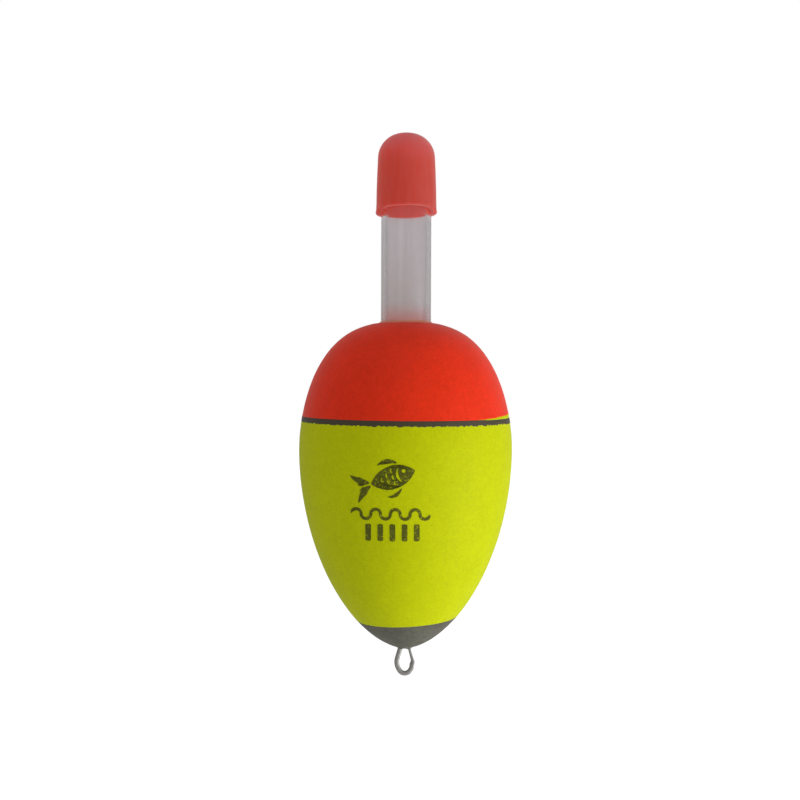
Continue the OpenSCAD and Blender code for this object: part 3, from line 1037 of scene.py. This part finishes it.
class BOBBER_OT_coats(bpy.types.Operator):
    """Grow the four coats of paint on the egg"""

    bl_idname = "bobber.coats"
    bl_label = "Coats"

    def execute(self, context):
        body, paint = context.scene.bobber_body, context.scene.bobber_paint
        tree = coat_tree()
        seam = {
            "Border": BODY_LOW + body.stripe_height + body.stripe_width / 2 - body.stripe_overlap,
            "Front Slope": math.tan(body.stripe_drop),
            "Side Slope": math.tan(body.stripe_lean),
            "Lift": body.bare,
        }
        stripe_top = {**seam, "Border": seam["Border"] + body.stripe_overlap, "Lift": 0.0,
                      "Ragged": 0.03 * MM}
        stripe_foot = {**stripe_top, "Border": seam["Border"] + body.stripe_overlap - body.stripe_width,
                       "Ragged": body.torn}
        tip_border = {"Border": BODY_LOW + body.tip_height, "Front Slope": math.tan(body.tip_drop),
                      "Side Slope": math.tan(body.tip_slope)}
        anchor = {"Border": height_on_egg(body, ANCHOR_RADIUS, crown=False)}
        seat = {"Border": height_on_egg(body, SEAT_RADIUS, crown=True)}
        shared = {
            **shape_values(body),
            "Around": body.around,
            "Lift Angle": body.bare_angle,
            "Lift Spread": body.bare_spread,
            "Grain": 1500.0,
            "Seed": 3.0,
            "Edge Width": 0.16 * MM,
            "Edge Depth": 0.05 * MM,
            "Lip Height": 0.03 * MM,
            "Unevenness": 0.05 * MM,
        }
        fine_edge = {"Stand Out": 0.045 * MM, "Edge Width": 0.1 * MM, "Edge Depth": 0.04 * MM,
                     "Lip Height": 0.0}
        coats = (
            ("crown_paint", "red_coat", "red_paint", paint.red, seam, seat, body.coat, {"Along": 90},
             {"cloudiness": 0.12, "fleck": (0.40, 0.015, 0.004), "shine": 0.10, "contrast": 1.3,
              "dust": 0.12}),
            ("body_paint", "yellow_coat", "yellow_paint", paint.yellow, tip_border, seam, body.coat,
             {"Along": 110}, {"cloudiness": 0.10, "fleck": (0.42, 0.30, 0.01)}),
            ("tip_paint", "tip_coat", "grey_paint", paint.tip, anchor, tip_border, body.coat,
             {"Along": 44},
             {"cloudiness": 0.16, "fleck": (0.10, 0.11, 0.05), "shine": 0.3, "contrast": 3.6}),
            ("stripe_line", "pinstripe", "stripe_paint", paint.stripe, stripe_foot, stripe_top,
             body.stripe_coat, {"Along": 14, **fine_edge},
             {"cloudiness": 0.2, "fleck": (0.14, 0.13, 0.03), "shine": 0.3}),
        )
        first_seed, seed_step = 2.0, 17.0
        for i, (name, node, slot, tint, low, high, wall, own, surface) in enumerate(coats):
            ends = {f"{side} {label}": value for side, end in (("Low", low), ("High", high))
                    for label, value in end.items()}
            look = matt_paint(name, tint, first_seed + seed_step * i, **surface)
            piece = grown(name, tree, {**shared, **ends, **own, "Finish": look}, wall=wall)
            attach(piece, "float")
            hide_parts(node)
        return {"FINISHED"}


class BOBBER_OT_mark(bpy.types.Operator):
    """Print the fish, wave line and bars on the front"""

    bl_idname = "bobber.mark"
    bl_label = "Printed Mark"

    def execute(self, context):
        scene = context.scene
        mark, paint, body = scene.bobber_mark, scene.bobber_paint, scene.bobber_body
        flat = filled("front_print", artwork(mark))
        flat.transform(Matrix.Translation((mark.middle, 0.0, BODY_LOW + mark.fish_height)))
        sunk = 0.04 * MM
        values = {
            **shape_values(body),
            "Splits": 2,
            "Bleed": mark.bleed,
            "Grain": 2300.0,
            "Seed": 6.0,
            "Stand Out": mark.ink + 0.01 * MM,
            "Finish": worn_ink("worn_ink", paint.ink, paint.yellow, 8.0),
        }
        piece = grown("front_print", print_tree(), values, start=flat, wall=mark.ink + sunk)
        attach(piece, "float")
        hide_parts("printed_mark")
        return {"FINISHED"}


class BOBBER_OT_tube(bpy.types.Operator):
    """Turn the clear light tube, its plug and its glue"""

    bl_idname = "bobber.tube"
    bl_label = "Light Tube"

    def execute(self, context):
        scene = context.scene
        tube, paint = scene.bobber_tube, scene.bobber_paint
        self.pipe(tube, paint, scene.bobber_body)
        self.plug(tube, paint)
        self.glue(tube, paint, scene.bobber_body)
        return {"FINISHED"}

    @staticmethod
    def pipe(tube, paint, body):
        bore, round_in = tube.radius - tube.wall, tube.rounding
        seat = PLUG_HIGH.z
        low, high = TUBE_LOW.z, TUBE_HIGH.z
        outer, inner = tube.radius - round_in, bore + round_in
        outline = (
            arc((outer, low + round_in), round_in, -90, 0, 5)
            + straight((tube.radius, low + round_in), (tube.radius, high - round_in), 48)
            + arc((outer, high - round_in), round_in, 0, 90, 5)
            + arc((inner, high - round_in), round_in, 90, 180, 5)
            + straight((bore, high - round_in), (bore, seat), 44)
            + [(bore, seat), (tube.plug_radius, seat), (tube.plug_radius, low)])
        crown_top = ring_height(body) + body.crown
        clean = CAP_LOW.z - 0.9 * MM
        look = hazy_plastic("hazy_plastic", paint.plastic, paint.red, crown_top / MM, clean / MM)
        piece = turned("clear_tube", outline, 144, look, ring=True)
        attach(piece, "float")
        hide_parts("light_tube")

    @staticmethod
    def plug(tube, paint):
        top, head, low = PLUG_HIGH.z, TUBE_LOW.z, PLUG_LOW.z
        soft, dimple, dip, slack = 0.3 * MM, 1.1 * MM, 0.5 * MM, 0.02 * MM
        radius = tube.plug_radius - slack
        outline = (
            [(0.0, top - dip)]
            + arc((dimple - soft, top - dip + soft), soft, -90, 0, 5)
            + arc((dimple + soft, top - soft), soft, 180, 90, 5)
            + arc((radius - soft, top - soft), soft, 90, 0, 5)
            + [(radius, head)]
            + arc((tube.radius - soft, head - slack - soft), soft, 90, 0, 5)
            + arc((tube.radius - soft, low + soft), soft, 0, -90, 5)
            + [(0.0, low)])
        piece = turned("rubber_plug", outline, 96, dusty_rubber("pale_rubber", paint.rubber))
        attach(piece, "float")
        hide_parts("tube_plug")

    @staticmethod
    def glue(tube, paint, body):
        crown = height_on_egg(body, SEAT_RADIUS, crown=True)
        toe = SEAT_RADIUS + tube.collar_width - 0.2 * MM
        toe_height = height_on_egg(body, toe, crown=True)
        wet = bent((toe, toe_height - 0.05 * MM), (tube.radius + 0.25 * MM, crown + 0.02 * MM),
                   (tube.radius + 0.01 * MM, crown + tube.collar_height), 10)
        sunk = 0.3 * MM
        outline = [(tube.radius, GLUE_LOW.z), (SEAT_RADIUS, GLUE_LOW.z), (SEAT_RADIUS, crown - sunk),
                   (toe - 0.2 * MM, toe_height - sunk), *wet]
        drip_turn, drip_width = math.radians(284), 0.16
        bulge = 0.12 * MM

        def place(turn, radius, height):
            if height > crown - 1 * MM and radius > SEAT_RADIUS:
                drip = math.exp(-((turn - drip_turn) / drip_width) ** 2)
                reach = 1 + 0.45 * noise.noise(around(turn, 2.1, 0.7)) + 0.7 * drip
                radius = SEAT_RADIUS + (radius - SEAT_RADIUS) * reach
                if radius > toe:
                    height = min(height, height_on_egg(body, radius, crown=True) + bulge)
            elif height > crown:
                height += bulge * noise.noise(around(turn, 1.7, 3.1))
            return around(turn, radius, height)

        piece = turned("glue_bead", outline, 192, set_glue("amber_glue", paint.glue), place, ring=True)
        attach(piece, "float")
        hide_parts("tube_glue")


class BOBBER_OT_cap(bpy.types.Operator):
    """Turn the dipped vinyl cap with its rolled lip"""

    bl_idname = "bobber.cap"
    bl_label = "Vinyl Cap"

    def execute(self, context):
        cap, paint = context.scene.bobber_cap, context.scene.bobber_paint
        dome_z = cap.top - cap.dome
        flat = cap.radius - cap.dome
        roll = (cap.lip_radius - cap.lip_roll, cap.rim + cap.lip_roll)
        over_lip = (cap.rim_radius, roll[1] + 0.75 * cap.lip_roll)
        side = bent((cap.radius, dome_z), (cap.rim_radius - 0.1 * MM, dome_z - 5 * MM), over_lip, 30)
        soft = 0.18 * MM
        outline = (
            [(share_out * flat, cap.top) for share_out in (0.0, 0.35, 0.7)]
            + arc((flat, dome_z), cap.dome, 90, 0, 36)
            + side[1:]
            + arc(roll, cap.lip_roll, 32, -90, 14)
            + arc((cap.bore + soft, cap.rim + soft), soft, 270, 180, 5)
            + straight((cap.bore, cap.rim + soft), (cap.bore, dome_z), 24)
            + arc((flat, dome_z), cap.dome - cap.wall, 0, 90, 20)
            + [(0.5 * flat, cap.top - cap.wall), (0.0, cap.top - cap.wall)])
        lip_lean = math.tan(cap.lip_slope)
        lip_reach, wander_size = 3 * MM, 3.2 * MM

        def place(turn, radius, height):
            near_lip = max(0.0, 1 - (height - cap.rim) / lip_reach)
            front = min(1.0, max(0.0, -math.sin(turn)) / 0.9)
            arch = cap.lip_arch * front * front * (3 - 2 * front)
            height += near_lip * (radius * math.cos(turn) * lip_lean + arch)
            wander = cap.unevenness * noise.noise(around(turn, radius, height) / wander_size)
            if radius > cap.bore + 0.3 * MM:
                radius += wander * (1 + near_lip)
                height += 1.6 * wander * near_lip
            return around(turn, radius, min(height, cap.top))

        # The cap's finish carries the painted glow and the painted highlight under its lip.
        look = soft_vinyl("red_vinyl", paint.vinyl, paint.bloom_and_underside_highlight, paint.painted_glow, cap.rim / MM, cap.top / MM)
        piece = turned("vinyl_cap", outline, 192, look, place)
        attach(piece, "cap")
        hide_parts("tip_cap")
        return {"FINISHED"}


class BOBBER_OT_line_eye(bpy.types.Operator):
    """Bend the wire line eye and pot it in epoxy"""

    bl_idname = "bobber.line_eye"
    bl_label = "Line Eye"

    def execute(self, context):
        scene = context.scene
        eye, paint = scene.bobber_eye, scene.bobber_paint
        values = {
            "Wire Radius": eye.wire,
            "Sides": 24,
            "Flattening": eye.flattening,
            "First Tilt": eye.first_tilt,
            "Last Tilt": eye.last_tilt,
            "Turn Middle": eye.turn_middle,
            "Turn Width": eye.turn_width,
            "Finish": drawn_steel("drawn_steel", paint.steel),
        }
        piece = grown("wire_eye", wire_tree(), values, start=path_curve("wire_path", eye_path(eye)))
        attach(piece, "float")
        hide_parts("line_eye")
        self.epoxy(eye, paint, scene.bobber_body)
        return {"FINISHED"}

    @staticmethod
    def epoxy(eye, paint, body):
        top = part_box("eye_glue")[1].z
        edge = ANCHOR_RADIUS - 0.01 * MM
        rings = 26
        radii = [edge * i / rings for i in range(rings + 1)]
        base = [(radius, height_on_egg(body, radius, crown=False)) for radius in radii]
        outline = base + [(edge, BODY_LOW + 4 * MM), (edge, top), (0.0, top)]
        highest_base = base[-1][1]
        climb = 0.22 * MM

        def place(turn, radius, height):
            spot = around(turn, radius, 0.0)
            if height <= highest_base:
                swell = eye.dab * (1 - (radius / edge) ** 4)
                for leg in (-eye.entry, eye.entry):
                    near = max(0.0, math.hypot(spot.x - leg, spot.y) - eye.wire)
                    swell += climb * math.exp(-near / climb)
                height -= swell + 0.05 * MM * noise.noise(spot / (1.1 * MM))
            return around(turn, radius, height)

        look = set_glue("grey_epoxy", paint.tip)
        piece = turned("tip_epoxy", outline, 96, look, place)
        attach(piece, "float")
        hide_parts("eye_glue")


# Panel and registration

STEPS = (BOBBER_OT_stage, BOBBER_OT_foam, BOBBER_OT_coats, BOBBER_OT_mark, BOBBER_OT_tube, BOBBER_OT_cap,
         BOBBER_OT_line_eye)
SETTINGS = {
    "bobber_body": BodySettings,
    "bobber_paint": PaintSettings,
    "bobber_mark": MarkSettings,
    "bobber_tube": TubeSettings,
    "bobber_cap": CapSettings,
    "bobber_eye": EyeSettings,
    "bobber_stage": StageSettings,
}


class BOBBER_PT_panel(bpy.types.Panel):
    """The float's steps and settings, in the 3D view's sidebar"""

    bl_idname = "BOBBER_PT_panel"
    bl_label = "Bobber Float"
    bl_space_type = "VIEW_3D"
    bl_region_type = "UI"
    bl_category = "Float"

    def draw(self, context):
        for step in STEPS:
            self.layout.operator(step.bl_idname)
        for name, group in SETTINGS.items():
            box = self.layout.box()
            box.label(text=group.__doc__)
            for field in group.__annotations__:
                box.prop(getattr(context.scene, name), field)


def register():
    for group in SETTINGS.values():
        bpy.utils.register_class(group)
    for name, group in SETTINGS.items():
        setattr(bpy.types.Scene, name, PointerProperty(type=group))
    for step in (*STEPS, BOBBER_PT_panel):
        bpy.utils.register_class(step)


def unregister():
    for step in reversed((*STEPS, BOBBER_PT_panel)):
        bpy.utils.unregister_class(step)
    for name, group in SETTINGS.items():
        delattr(bpy.types.Scene, name)
        bpy.utils.unregister_class(group)


def main():
    """Registers the classes and builds the float step by step."""
    register()
    for step in STEPS:
        category, name = step.bl_idname.split(".")
        getattr(getattr(bpy.ops, category), name)()


if __name__ == "__main__":
    main()
